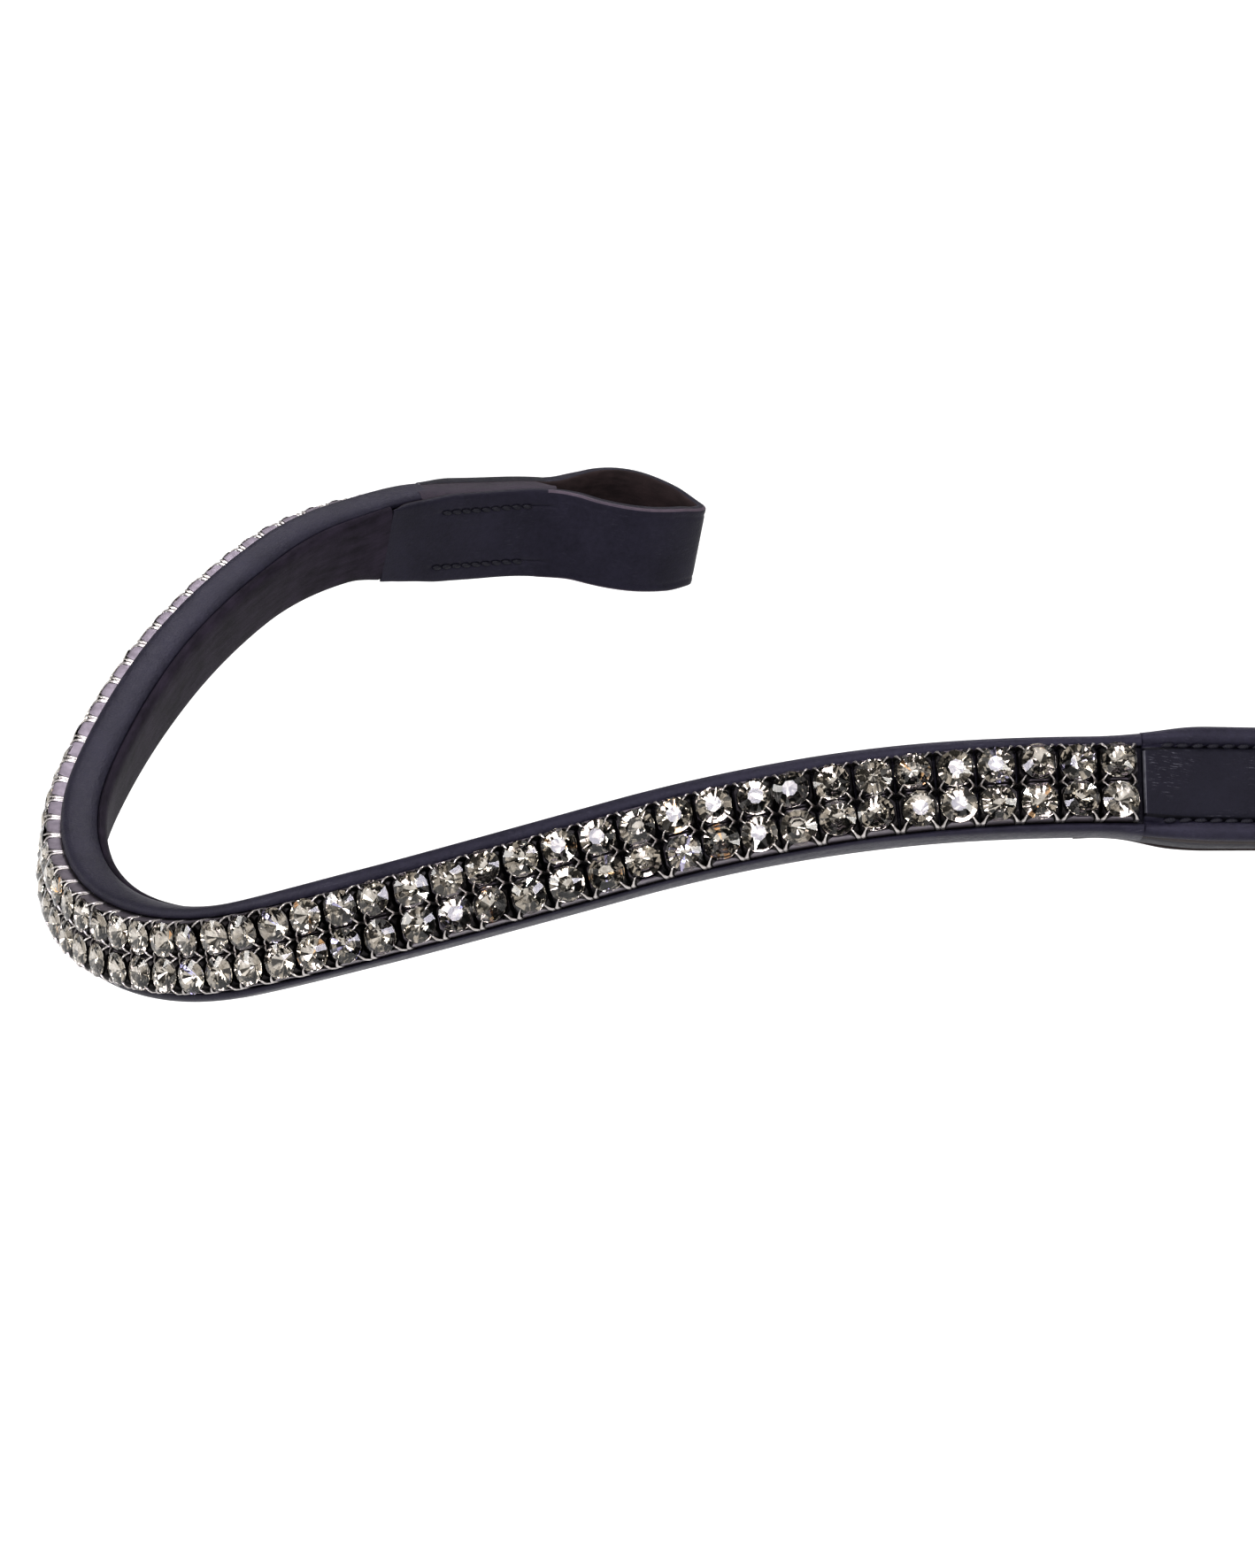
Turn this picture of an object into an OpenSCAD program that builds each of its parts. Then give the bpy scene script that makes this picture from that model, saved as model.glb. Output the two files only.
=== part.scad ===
// Crystal browband of a snaffle bridle.
// A padded leather strap, cut with a dip in the middle and bent round the forehead. Two rows of
// cup-set crystals run along its channel, and a leather loop at each end takes the headpiece.
// The band is described by its distance from mid-brow, counted in crystal columns: positive
// columns lead to the near end (+X) and negative columns to the far end.

/* [Crystal rows] */
// Crystal columns in each half of the band
half_columns = 29; // [24:1:30]
// Distance between the centres of two neighbouring columns
column_pitch = 5.4; // [5.3:0.1:6]
// Distance between the centre lines of the two rows
row_pitch = 5.2; // [5.1:0.1:5.4]
// Width of a square cup along the band
cup_w = 5; // [4.8:0.1:5.1]
// Height of a square cup across the band
cup_h = 5.1; // [4.8:0.1:5.1]
// Depth of a cup, from the channel floor to its rim
cup_depth = 3.1; // [2.6:0.1:3.6]
// Diameter of a crystal at its girdle
stone_d = 4.6; // [4.2:0.1:4.6]

/* [Strap] */
// Width of the strap beside the crystals
strap_w = 13.5; // [13.5:0.1:15]
// Width of each rolled lip beside the channel
lip_w = 1.4; // [1.3:0.1:1.6]
// Height of the lips above the channel floor
lip_h = 1.1; // [0.9:0.1:2]
// Thickness of the strap behind the channel floor
strap_back = 6.3; // [5.5:0.1:7]
// Thickness of the face leather
skin = 1.3; // [1:0.1:1.6]
// Thickness of the lining leather and of the return flap
lining_t = 1.4; // [1:0.1:1.8]

/* [Ends] */
// Width of the stitched tab and of the loop
tab_w = 16.5; // [16:0.1:18]
// Length of the stitched tab
tab_len = 25.4; // [22:0.1:28]
// Height of the flat tab face above the channel floor
tab_face = 1.5; // [1.2:0.1:2]
// Distance between two stitches
stitch_pitch = 2.1; // [1.8:0.1:2.6]
// Length of the loop beyond the tab
loop_len = 28.5; // [26:0.5:32]
// Widest clear opening of the loop
loop_gap = 12.5; // [10:0.5:14]
// Thickness of the loop leather
loop_t = 2; // [1.8:0.1:2.2]
// How far the loop bows away from the horse
loop_bow = 1.2; // [0:0.1:2]

/* [Stance] */
// Backward lean of mid-brow that stands the band on its centre and both loops
stand_lean = 15; // [0:1:20]
// Columns from mid-brow to the flex line of each side
flex_column = 10; // [6:1:14]

/* [Hidden] */

// The curve of each half, from mid-brow outward. Each row holds a length in columns, and the
// degrees per column that the strap bends towards its back, turns up on edge, and twists.
near_curve = [
    [5, 3.3, 3.5, 0.1],
    [5, 3.5, 1.1, 1.1],
    [6, 1.8, 0.4, 0.3],
    [6, 0.6, -1.1, 0.9],
    [7, 1.8, -0.9, -0.4],
    [12, 0.3, 0.1, 0.1]
];
far_curve = [
    [5, 4.4, 3.2, -0.2],
    [5, 4.4, 2.6, 0.2],
    [6, 1.5, 0, -0.3],
    [6, 1.7, -0.3, 0.7],
    [7, 4.1, -1.1, -1.2],
    [12, 3.9, 0, -0.5]
];
steps = 2;                                    // frames worked out in each column
tab_start = half_columns + 0.15;              // columns to the cut edge of the tab face
throat = half_columns + tab_len / column_pitch; // columns to the end of the tab
flap_start = half_columns - 1.5;              // columns to the end of the return flap
flare = [half_columns - 0.4, half_columns + 1]; // columns between which the strap widens
curve_end = ceil(throat) + 6;
strap_half = strap_w / 2;
channel_half = strap_half - lip_w;
glue_t = 0.15;                                // glue line between two layers of the strap
back_thinning = 1.3;                          // how much thinner the tab is at its end
flex_gap = 3.2;                               // open wedge of the leather at a flex line
loop_root = 2;                                // clear space between the tab and the loop
corner_cut = 0.9;                             // chamfer on the corners of a cup
cup_floor = 0.5;
cup_seat = 0.1;                               // clear space under a cup, for the twist of the strap
stone_clear = 0.05;
girdle_t = 0.2;
crown_t = 0.9;
pavilion_t = 1.9;
table_share = 0.55;                           // table diameter as a share of the girdle's
groove_v = 5.2;                               // stitch groove, from the middle of the tab
groove_depth = 0.8;
groove_rest = 0.57;                           // height of a stitch above the bottom of its groove
thread_r = 0.3;
thread_lift = 0.1;                            // clear space between a stitch and the flap
stitch_len = 1.6;

navy_black = [0.12, 0.12, 0.16];
lining_black = [0.1, 0.09, 0.09];
gunmetal = [0.45, 0.43, 0.45];
crystal_grey = [0.72, 0.7, 0.62];
thread_black = [0.08, 0.08, 0.11];

// --- The curve of the band -------------------------------------------------------------

function unit(v) = v / norm(v);

// Turns v by the rotation vector w, in degrees
function turned(v, w) =
    let (angle = norm(w), k = w / max(angle, 1e-9))
    v * cos(angle) + cross(k, v) * sin(angle) + k * (k * v) * (1 - cos(angle));

function curve_row(curve, d, i = 0) =
    i == len(curve) - 1 || d < curve[i][0] ? curve[i] : curve_row(curve, d - curve[i][0], i + 1);

// A frame is [point, outward tangent, outward normal, up along the strap's width]
function next_frame(f, row) =
    let (w = (row[3] * f[1] - row[2] * f[2] - row[1] * f[3]) / steps)
    [
        f[0] + turned(f[1], w / 2) * column_pitch / steps,
        turned(f[1], w),
        turned(f[2], w),
        turned(f[3], w)
    ];

start_normal = [0, -cos(stand_lean), sin(stand_lean)];
start_up = [0, sin(stand_lean), cos(stand_lean)];
start_frame = [start_normal * strap_back, [-1, 0, 0], start_normal, start_up];

function half_frames(curve) = [
    for (
        i = 0, f = start_frame;
        i <= curve_end * steps;
        f = next_frame(f, curve_row(curve, (i + 0.5) / steps)), i = i + 1
    ) f
];

function flip_x(v) = [-v[0], v[1], v[2]];

far_frames = half_frames(far_curve);
near_frames = [for (f = half_frames(near_curve)) [for (v = f) flip_x(v)]];

function mix(a, b, u) = a * (1 - u) + b * u;

// Point, normal and up at column c, straight from the nearest two frames
function frame_at(c) =
    let (
        frames = c >= 0 ? near_frames : far_frames,
        d = abs(c) * steps,
        i = min(floor(d), len(frames) - 2),
        u = d - i,
        normal = unit(mix(frames[i][2], frames[i + 1][2], u)),
        up = mix(frames[i][3], frames[i + 1][3], u)
    )
    [mix(frames[i][0], frames[i + 1][0], u), normal, unit(up - normal * (up * normal))];

// A point that is v up and n outward from the channel floor at column c
function on_strap(f, v, n) = f[0] + f[2] * v + f[1] * n;

// Places children with X along the band to its near end, Y up and Z outward
module at_frame(point, normal, up) {
    along = cross(up, normal);
    multmatrix([
        [along[0], up[0], normal[0], point[0]],
        [along[1], up[1], normal[1], point[1]],
        [along[2], up[2], normal[2], point[2]]
    ]) children();
}

module at_column(c, v, n) {
    f = frame_at(c);
    at_frame(on_strap(f, v, n), f[1], f[2]) children();
}

// --- Widths and depths along the band --------------------------------------------------

function ease(u) = let (x = min(max(u, 0), 1)) x * x * (3 - 2 * x);

function half_width(c) =
    mix(strap_half, tab_w / 2, ease((abs(c) - flare[0]) / (flare[1] - flare[0])));

function back_at(c) =
    strap_back - back_thinning * ease((abs(c) - half_columns) / (throat - half_columns));

// --- Cross-sections: lists of [up, outward] --------------------------------------------

function mirrored(points) =
    [for (i = [len(points) - 1:-1:0]) [-points[i][0], points[i][1]]];

function both_sides(points) = concat(points, mirrored(points));

function face_section(c) =
    let (w = half_width(c), wrap = strap_back - lining_t - glue_t)
    both_sides([
        [channel_half, -skin],
        [channel_half, -wrap],
        [w - 0.6, -wrap],
        [w, 1.2 - wrap],
        [w, lip_h - 1.3],
        [w - 0.25, lip_h - 0.3],
        [w - 0.7, lip_h],
        [channel_half + 0.2, lip_h - 0.4],
        [channel_half, 0]
    ]);

function inner_section(c, half) =
    both_sides([[half, lining_t + glue_t - back_at(c)], [half, -skin - glue_t]]);

function core_section(c) = inner_section(c, channel_half - glue_t);

function filler_section(c) = inner_section(c, half_width(c) - glue_t);

function lining_section(c) =
    let (w = half_width(c), back = back_at(c))
    both_sides([
        [w - 1.3, -back],
        [w - 0.7, 0.5 - back],
        [w - 0.6, lining_t - back]
    ]);

function tab_section(c) =
    let (w = half_width(c))
    both_sides([
        [w, -skin],
        [w, 0.3],
        [w - 0.3, tab_face - 0.1],
        [w - 0.9, tab_face + 0.4],
        [groove_v + 0.5, tab_face - 0.2],
        [groove_v, tab_face - groove_depth],
        [groove_v - 0.5, tab_face - 0.1],
        [groove_v - 1, tab_face]
    ]);

// --- Sweeping a cross-section along the band -------------------------------------------

// Both ends and every whole column between them, so that all the layers bend alike
function stations(from, to) =
    let (way = sign(to - from))
    concat(from, [for (i = [floor(way * from) + 1:ceil(way * to) - 1]) way * i], to);

// Joins rings of points, each the same size, into one closed solid
module skin_of(rings) {
    size = len(rings[0]);
    last = len(rings) - 1;
    sides = [
        for (r = [0:last - 1])
            for (k = [0:size - 1])
                let (a = r * size + k, b = r * size + (k + 1) % size)
                each [[a, b, b + size], [a, b + size, a + size]]
    ];
    caps = [
        [for (k = [size - 1:-1:0]) k],
        [for (k = [0:size - 1]) last * size + k]
    ];
    polyhedron(points = [for (ring = rings) each ring], faces = concat(sides, caps), convexity = 8);
}

function ring_at(c, section) = let (f = frame_at(c)) [for (q = section) on_strap(f, q[0], q[1])];

module face(from, to) {
    color(navy_black) skin_of([for (c = stations(from, to)) ring_at(c, face_section(c))]);
}

module core(from, to) {
    color("dimgray") skin_of([for (c = stations(from, to)) ring_at(c, core_section(c))]);
}

module filler(from, to) {
    color(lining_black) skin_of([for (c = stations(from, to)) ring_at(c, filler_section(c))]);
}

module lining(from, to) {
    color(lining_black) skin_of([for (c = stations(from, to)) ring_at(c, lining_section(c))]);
}

module tab(from, to) {
    color(navy_black) skin_of([for (c = stations(from, to)) ring_at(c, tab_section(c))]);
}

// --- Crystals in their cups ------------------------------------------------------------

module cup_outline() {
    x = cup_w / 2;
    y = cup_h / 2;
    polygon([
        [x - corner_cut, -y], [x, corner_cut - y], [x, y - corner_cut], [x - corner_cut, y],
        [corner_cut - x, y], [-x, y - corner_cut], [-x, corner_cut - y], [corner_cut - x, -y]
    ]);
}

module cup() {
    difference() {
        linear_extrude(cup_depth) cup_outline();
        translate([0, 0, cup_floor]) cylinder(d = stone_d + 2 * stone_clear, h = cup_depth, $fn = 32);
    }
}

// A round brilliant: pointed pavilion, thin girdle and a crown with a flat table
module stone() {
    r = stone_d / 2;
    rotate_extrude($fn = 32) polygon([
        [0, 0],
        [r, pavilion_t],
        [r, pavilion_t + girdle_t],
        [r * table_share, pavilion_t + girdle_t + crown_t],
        [0, pavilion_t + girdle_t + crown_t]
    ]);
}

// Columns [from, to) of one row on one side; side is 1 for near and -1 for far
module row_of(side, from, to, v, n) {
    for (i = [from:to - 1]) at_column(side * (i + 0.5), v, n) children();
}

module cups(side, from, to, v) {
    color(gunmetal) row_of(side, from, to, v, cup_seat) cup();
}

module stones(side, from, to, v) {
    culet = cup_seat + cup_floor + stone_clear;
    color(crystal_grey) row_of(side, from, to, v, culet) stone();
}

// --- Stitches and loops ----------------------------------------------------------------

// One row of stitches, on the front and on the back of a tab
module stitches(side, v) {
    first = tab_start + 0.45;
    count = floor((throat - 0.3 - first) * column_pitch / stitch_pitch);
    color(thread_black)
        for (i = [0:count - 1]) {
            c = side * (first + (i + 0.5) * stitch_pitch / column_pitch);
            at_column(c, v, tab_face - groove_depth + groove_rest) stitch();
            at_column(c, v, -back_at(c) - thread_r - thread_lift) stitch();
        }
}

module stitch() {
    rotate([0, 90, 0]) cylinder(r = thread_r, h = stitch_len, center = true, $fn = 16);
}

// Half the clear width of the loop at a share x of its opening
function opening_half(x) = loop_gap / 2 * pow(sin(180 * x), 0.85);

// The eye of leather, seen along the strap's width: an outline of the wall and of the opening
module loop(side) {
    tip = loop_len - loop_t;
    mouth = loop_root + 1.2;
    middle = (tab_face - back_at(throat)) / 2;
    root_half = (tab_face + back_at(throat)) / 2;
    count = 20;
    inner = [
        for (i = [0:count])
            [mix(mouth, tip, i / count), opening_half(i / count)]
    ];
    outer = concat(
        [[loop_root, root_half]],
        [
            for (i = [2:count - 1])
                [inner[i][0], max(inner[i][1] + loop_t, mix(root_half, 0, i / count))]
        ],
        [for (a = [60:-30:0]) [tip + loop_t * cos(a), loop_t * sin(a)]]
    );
    base = frame_at(side * throat);
    lie = frame_at(side * (throat + loop_len / column_pitch / 2));
    color(navy_black)
        at_frame(on_strap(base, 0, middle), lie[1], lie[2])
            rotate([90, 0, 0])
                difference() {
                    linear_extrude(tab_w, center = true) eye(outer, side);
                    linear_extrude(tab_w + 2, center = true) eye(inner, side);
                }
}

// A shape that is the same on both sides of its middle line, which is bowed
module eye(half, side) {
    below = [for (i = [len(half) - 1:-1:0]) if (half[i][1] > 0.001) [half[i][0], -half[i][1]]];
    polygon([
        for (q = concat(half, below))
            [side * q[0], q[1] + loop_bow * sin(180 * q[0] / loop_len)]
    ]);
}

// --- Pieces ----------------------------------------------------------------------------

flex_half = flex_gap / 2 / column_pitch;      // half of the open wedge, in columns
side_start = flex_column + flex_half;
row_v = row_pitch / 2;

module face_centre() { face(flex_half - flex_column, flex_column - flex_half); }
module core_centre() { core(flex_half - flex_column, flex_column - flex_half); }
module lining_centre() { lining(flex_half - flex_column, flex_column - flex_half); }
module cups_centre(v) { for (side = [1, -1]) cups(side, 0, flex_column, v); }
module stones_centre(v) { for (side = [1, -1]) stones(side, 0, flex_column, v); }

module face_side(side) { face(side * side_start, side * tab_start); }
module core_side(side) { core(side * side_start, side * tab_start); }
module lining_side(side) { lining(side * side_start, side * flap_start); }
module tab_side(side) { tab(side * tab_start, side * throat); }
module filler_side(side) { filler(side * tab_start, side * throat); }
module flap_side(side) { lining(side * flap_start, side * throat); }

face_centre();
core_centre();
lining_centre();
cups_centre(row_v);  // upper_cups_centre
cups_centre(-row_v);  // lower_cups_centre
stones_centre(row_v);  // upper_stones_centre
stones_centre(-row_v);  // lower_stones_centre

face_side(1);  // face_near
core_side(1);  // core_near
lining_side(1);  // lining_near
tab_side(1);  // tab_near
filler_side(1);  // filler_near
flap_side(1);  // flap_near
cups(1, flex_column, half_columns, row_v);  // upper_cups_near
cups(1, flex_column, half_columns, -row_v);  // lower_cups_near
stones(1, flex_column, half_columns, row_v);  // upper_stones_near
stones(1, flex_column, half_columns, -row_v);  // lower_stones_near
stitches(1, groove_v);  // upper_stitches_near
stitches(1, -groove_v);  // lower_stitches_near
loop(1);  // loop_near

face_side(-1);  // face_far
core_side(-1);  // core_far
lining_side(-1);  // lining_far
tab_side(-1);  // tab_far
filler_side(-1);  // filler_far
flap_side(-1);  // flap_far
cups(-1, flex_column, half_columns, row_v);  // upper_cups_far
cups(-1, flex_column, half_columns, -row_v);  // lower_cups_far
stones(-1, flex_column, half_columns, row_v);  // upper_stones_far
stones(-1, flex_column, half_columns, -row_v);  // lower_stones_far
stitches(-1, groove_v);  // upper_stitches_far
stitches(-1, -groove_v);  // lower_stitches_far
loop(-1);  // loop_far
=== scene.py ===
"""Looks of the crystal browband: leather, cups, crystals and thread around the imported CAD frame."""

import math
import random

import bmesh
import bpy
import numpy as np
from mathutils import Matrix, Vector


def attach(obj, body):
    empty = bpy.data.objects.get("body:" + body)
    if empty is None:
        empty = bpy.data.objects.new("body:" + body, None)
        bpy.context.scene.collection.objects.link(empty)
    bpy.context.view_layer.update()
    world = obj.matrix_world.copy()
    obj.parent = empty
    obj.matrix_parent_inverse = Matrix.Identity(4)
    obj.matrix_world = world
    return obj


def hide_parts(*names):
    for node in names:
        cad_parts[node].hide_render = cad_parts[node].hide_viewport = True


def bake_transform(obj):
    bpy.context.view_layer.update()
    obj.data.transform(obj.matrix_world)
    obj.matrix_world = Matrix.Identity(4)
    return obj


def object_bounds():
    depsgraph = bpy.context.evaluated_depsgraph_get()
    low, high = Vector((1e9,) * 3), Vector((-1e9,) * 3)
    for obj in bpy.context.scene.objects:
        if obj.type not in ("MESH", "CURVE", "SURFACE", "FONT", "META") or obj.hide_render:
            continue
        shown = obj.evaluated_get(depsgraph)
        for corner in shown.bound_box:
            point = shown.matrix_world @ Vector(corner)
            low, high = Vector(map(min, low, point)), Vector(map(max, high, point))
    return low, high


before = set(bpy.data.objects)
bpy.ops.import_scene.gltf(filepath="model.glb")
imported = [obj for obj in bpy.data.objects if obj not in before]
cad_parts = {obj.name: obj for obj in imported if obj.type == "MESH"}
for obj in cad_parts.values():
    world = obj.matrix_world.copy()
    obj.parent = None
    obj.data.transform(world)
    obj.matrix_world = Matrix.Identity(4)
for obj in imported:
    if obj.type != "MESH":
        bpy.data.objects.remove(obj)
cad_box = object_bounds()

MM = 0.001

# --- Driving sizes in millimetres --------------------------------------------------------------

# Places along the band are counted in columns of crystals from mid-brow. Across it, v is the
# distance above the middle of the crystal rows, and n the distance out from the channel floor.
HALF_COLUMNS = 29
PITCH = 5.4           # length of one column
ROW_V = 2.6           # distance of each crystal row's middle from v = 0
BACK = 6.3            # depth of the lining's back face under the channel floor
STAND_LEAN = 15       # degrees by which the brow leans back
TAB_START = HALF_COLUMNS + 0.15
TAB_LEN = 25.4
THROAT = HALF_COLUMNS + TAB_LEN / PITCH
FLAP_START = HALF_COLUMNS - 1.5
CHANNEL_HALF = 5.25   # half widths of the channel, the strap and the tabs
STRAP_HALF = 6.75
TAB_HALF = 8.25
NEAR_TAB_HALF = 7.95  # drawn a little narrower than the CAD has it
TAB_FACE = 1.5
SKIN = 1.3            # thickness of the face leather
BACK_THINNING = 1.3   # how much shallower the back is at the throat
LOOP_LEN = 28.5
LOOP_BOW = 1.2        # how far the loop bows away from the horse
GROOVE_V = 5.2        # distance of the stitch grooves from the middle
STITCH_PITCH = 2.1
SIDES = {"near": 1, "far": -1}

# Curve of each half from mid-brow: columns, then degrees per column of bend, edgewise turn, twist
NEAR_CURVE = [
    (5, 3.3, 3.5, 0.1),
    (5, 3.5, 1.1, 1.1),
    (6, 1.8, 0.4, 0.3),
    (6, 0.6, -1.1, 0.9),
    (7, 1.8, -0.9, -0.4),
    (12, 0.3, 0.1, 0.1),
]
FAR_CURVE = [
    (5, 4.4, 3.2, -0.2),
    (5, 4.4, 2.6, 0.2),
    (6, 1.5, 0.0, -0.3),
    (6, 1.7, -0.3, 0.7),
    (7, 4.1, -1.1, -1.2),
    (12, 3.9, 0.0, -0.5),
]
STEPS = 2             # frames worked out in each column


# --- The curve of the band -------------------------------------------------------------------

def unit(v):
    return v / np.linalg.norm(v)


def turned(v, w):
    """v turned by the rotation vector w, in degrees."""
    angle = np.linalg.norm(w)
    k = w / max(angle, 1e-9)
    a = math.radians(angle)
    return v * math.cos(a) + np.cross(k, v) * math.sin(a) + k * (k @ v) * (1 - math.cos(a))


def curve_row(curve, d):
    for row in curve[:-1]:
        if d < row[0]:
            return row
        d -= row[0]
    return curve[-1]


def half_frames(curve, flip):
    """Frames from mid-brow outward: point, outward tangent, outward normal, up."""
    lean = math.radians(STAND_LEAN)
    normal = np.array([0, -math.cos(lean), math.sin(lean)])
    up = np.array([0, math.sin(lean), math.cos(lean)])
    f = [normal * BACK, np.array([-1.0, 0, 0]), normal, up]
    frames = [f]
    for i in range(int(THROAT + 7) * STEPS):
        row = curve_row(curve, (i + 0.5) / STEPS)
        w = (row[3] * f[1] - row[2] * f[2] - row[1] * f[3]) / STEPS
        f = [f[0] + turned(f[1], w / 2) * PITCH / STEPS] + [turned(v, w) for v in f[1:]]
        frames.append(f)
    return np.array(frames) * np.array([-1 if flip else 1, 1, 1])


FRAMES = {1: half_frames(NEAR_CURVE, True), -1: half_frames(FAR_CURVE, False)}


def frame_at(c):
    """Point, outward normal and up at column c."""
    frames = FRAMES[1 if c >= 0 else -1]
    d = abs(c) * STEPS
    i = min(int(d), len(frames) - 2)
    point, _, normal, up = frames[i] * (1 - d + i) + frames[i + 1] * (d - i)
    normal = unit(normal)
    return point, normal, unit(up - normal * (up @ normal))


def on_strap(c, v, n):
    point, normal, up = frame_at(c)
    return point + up * v + normal * n


def smooth_frame(c, reach=0.5):
    """The frame at column c, averaged over nearby columns so that no corner shows."""
    if abs(c) <= reach:
        return frame_at(c)
    parts = [frame_at(c + d) for d in (-reach, -reach / 2, 0, reach / 2, reach)]
    point = parts[2][0]
    normal = unit(sum(p[1] for p in parts))
    up = sum(p[2] for p in parts)
    return point, normal, unit(up - normal * (up @ normal))


def ease(u):
    x = min(max(u, 0.0), 1.0)
    return x * x * (3 - 2 * x)


def mix(a, b, u):
    return a * (1 - u) + b * u


# --- Mesh helpers ----------------------------------------------------------------------------

def new_object(name, verts, faces, materials, face_materials=None, smooth=True, sharp=40):
    mesh = bpy.data.meshes.new(name)
    mesh.from_pydata([tuple(v) for v in verts], [], faces)
    for material in materials:
        mesh.materials.append(material)
    if face_materials is not None:
        mesh.polygons.foreach_set("material_index", face_materials)
    mesh.polygons.foreach_set("use_smooth", [smooth] * len(mesh.polygons))
    mesh.update()
    if smooth:
        mesh.set_sharp_from_angle(angle=math.radians(sharp))
    obj = bpy.data.objects.new(name, mesh)
    bpy.context.scene.collection.objects.link(obj)
    return obj


def add_uv(obj, ring_place, around_place):
    """Lengths along and around a swept piece, in millimetres, as its UV map."""
    mesh = obj.data
    size = len(around_place[0])
    layer = mesh.uv_layers.new(name="lengths")
    for polygon in mesh.polygons:
        ks = [mesh.loops[i].vertex_index % size for i in polygon.loop_indices]
        wraps = max(ks) - min(ks) > size // 2
        for loop in polygon.loop_indices:
            vertex = mesh.loops[loop].vertex_index
            ring, k = divmod(vertex, size)
            around = around_place[ring][k]
            if wraps and k < size // 2 and len(ks) == 4:
                around += around_place[ring][-1] + 1.0
            layer.data[loop].uv = (ring_place[ring], around)


def sweep(name, rings, materials, ring_material=None, sharp=40):
    """One closed solid through rings of points in millimetres; ring_material gives slots."""
    size = len(rings[0])
    verts = np.array(rings, float).reshape(-1, 3) * MM
    faces = []
    slots = []
    for r in range(len(rings) - 1):
        for k in range(size):
            a = r * size + k
            b = r * size + (k + 1) % size
            faces.append([a, b, b + size, a + size])
            slots.append(ring_material(r, k) if ring_material else 0)
    last = (len(rings) - 1) * size
    faces.append(list(range(size))[::-1])
    faces.append(list(range(last, last + size)))
    slots += [0, 0]
    obj = new_object(name, verts, faces, materials, slots, sharp=sharp)
    middles = [np.mean(ring, axis=0) for ring in rings]
    steps = [0.0] + [float(np.linalg.norm(b - a)) for a, b in zip(middles, middles[1:])]
    along = list(np.cumsum(steps))
    around = []
    for ring in rings:
        gaps = np.linalg.norm(np.diff(np.array(ring), axis=0), axis=1)
        around.append([0.0] + list(np.cumsum(gaps)))
    add_uv(obj, along, around)
    return obj


def mirrored(points):
    """A list of (v, n) points on the upper side, and its mirror image on the lower side."""
    return points + [(-v, n) for v, n in reversed(points)]


def stations(start, end, spacing):
    """Columns from start to end, about spacing millimetres apart."""
    count = max(2, round(abs(end - start) * PITCH / spacing))
    return [mix(start, end, i / count) for i in range(count + 1)]


def strap_ring(c, section):
    point, normal, up = smooth_frame(c)
    return [point + up * v + normal * n for v, n in section]


def outward(obj):
    """Turns every face of a closed piece outward."""
    bm = bmesh.new()
    bm.from_mesh(obj.data)
    bmesh.ops.recalc_face_normals(bm, faces=bm.faces)
    bm.to_mesh(obj.data)
    bm.free()
    return obj


# --- Materials -------------------------------------------------------------------------------

class Nodes:
    """Short calls for building one material's nodes."""

    def __init__(self, name):
        self.material = bpy.data.materials.new(name)
        self.material.use_nodes = True
        self.tree = self.material.node_tree
        self.shader = self.tree.nodes["Principled BSDF"]

    def add(self, kind, inputs=None, **settings):
        node = self.tree.nodes.new(kind)
        for key, value in settings.items():
            setattr(node, key, value)
        for key, value in (inputs or {}).items():
            if isinstance(value, bpy.types.NodeSocket):
                self.tree.links.new(value, node.inputs[key])
            else:
                node.inputs[key].default_value = value
        return node

    def coords(self):
        """Object coordinates in millimetres."""
        place = self.add("ShaderNodeTexCoord").outputs["Object"]
        return self.add(
            "ShaderNodeVectorMath", {0: place, "Scale": 1000.0}, operation="SCALE"
        ).outputs["Vector"]

    def lengths(self, across=1.0):
        """Lengths along and around a swept piece, in millimetres, the second one stretched."""
        place = self.add("ShaderNodeUVMap", uv_map="lengths").outputs["UV"]
        return self.add(
            "ShaderNodeVectorMath", {0: place, 1: (1.0, across, 1.0)}, operation="MULTIPLY"
        ).outputs["Vector"]

    def noise(self, vector, scale, detail=4.0, roughness=0.55):
        inputs = {"Vector": vector, "Scale": scale, "Detail": detail, "Roughness": roughness}
        return self.add("ShaderNodeTexNoise", inputs).outputs["Fac"]

    def cells(self, vector, scale):
        inputs = {"Vector": vector, "Scale": scale}
        return self.add("ShaderNodeTexVoronoi", inputs).outputs["Distance"]

    def band(self, value, low, high, out_low=0.0, out_high=1.0):
        inputs = {"Value": value, 1: low, 2: high, 3: out_low, 4: out_high}
        return self.add("ShaderNodeMapRange", inputs).outputs["Result"]

    def math(self, operation, a, b=0.0):
        return self.add("ShaderNodeMath", {0: a, 1: b}, operation=operation).outputs["Value"]

    def blend(self, factor, a, b):
        node = self.add("ShaderNodeMix", data_type="RGBA")
        for socket, value in ((node.inputs[0], factor), (node.inputs[6], a), (node.inputs[7], b)):
            if isinstance(value, bpy.types.NodeSocket):
                self.tree.links.new(value, socket)
            else:
                socket.default_value = value
        return node.outputs[2]

    def bump(self, height, distance, strength=1.0, normal=None):
        inputs = {"Height": height, "Distance": distance * MM, "Strength": strength}
        if normal is not None:
            inputs["Normal"] = normal
        return self.add("ShaderNodeBump", inputs).outputs["Normal"]

    def finish(self, **values):
        for key, value in values.items():
            socket = self.shader.inputs[key.replace("_", " ")]
            if isinstance(value, bpy.types.NodeSocket):
                self.tree.links.new(value, socket)
            else:
                socket.default_value = value
        return self.material


def rgb(r, g, b):
    return (r, g, b, 1.0)


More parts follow.
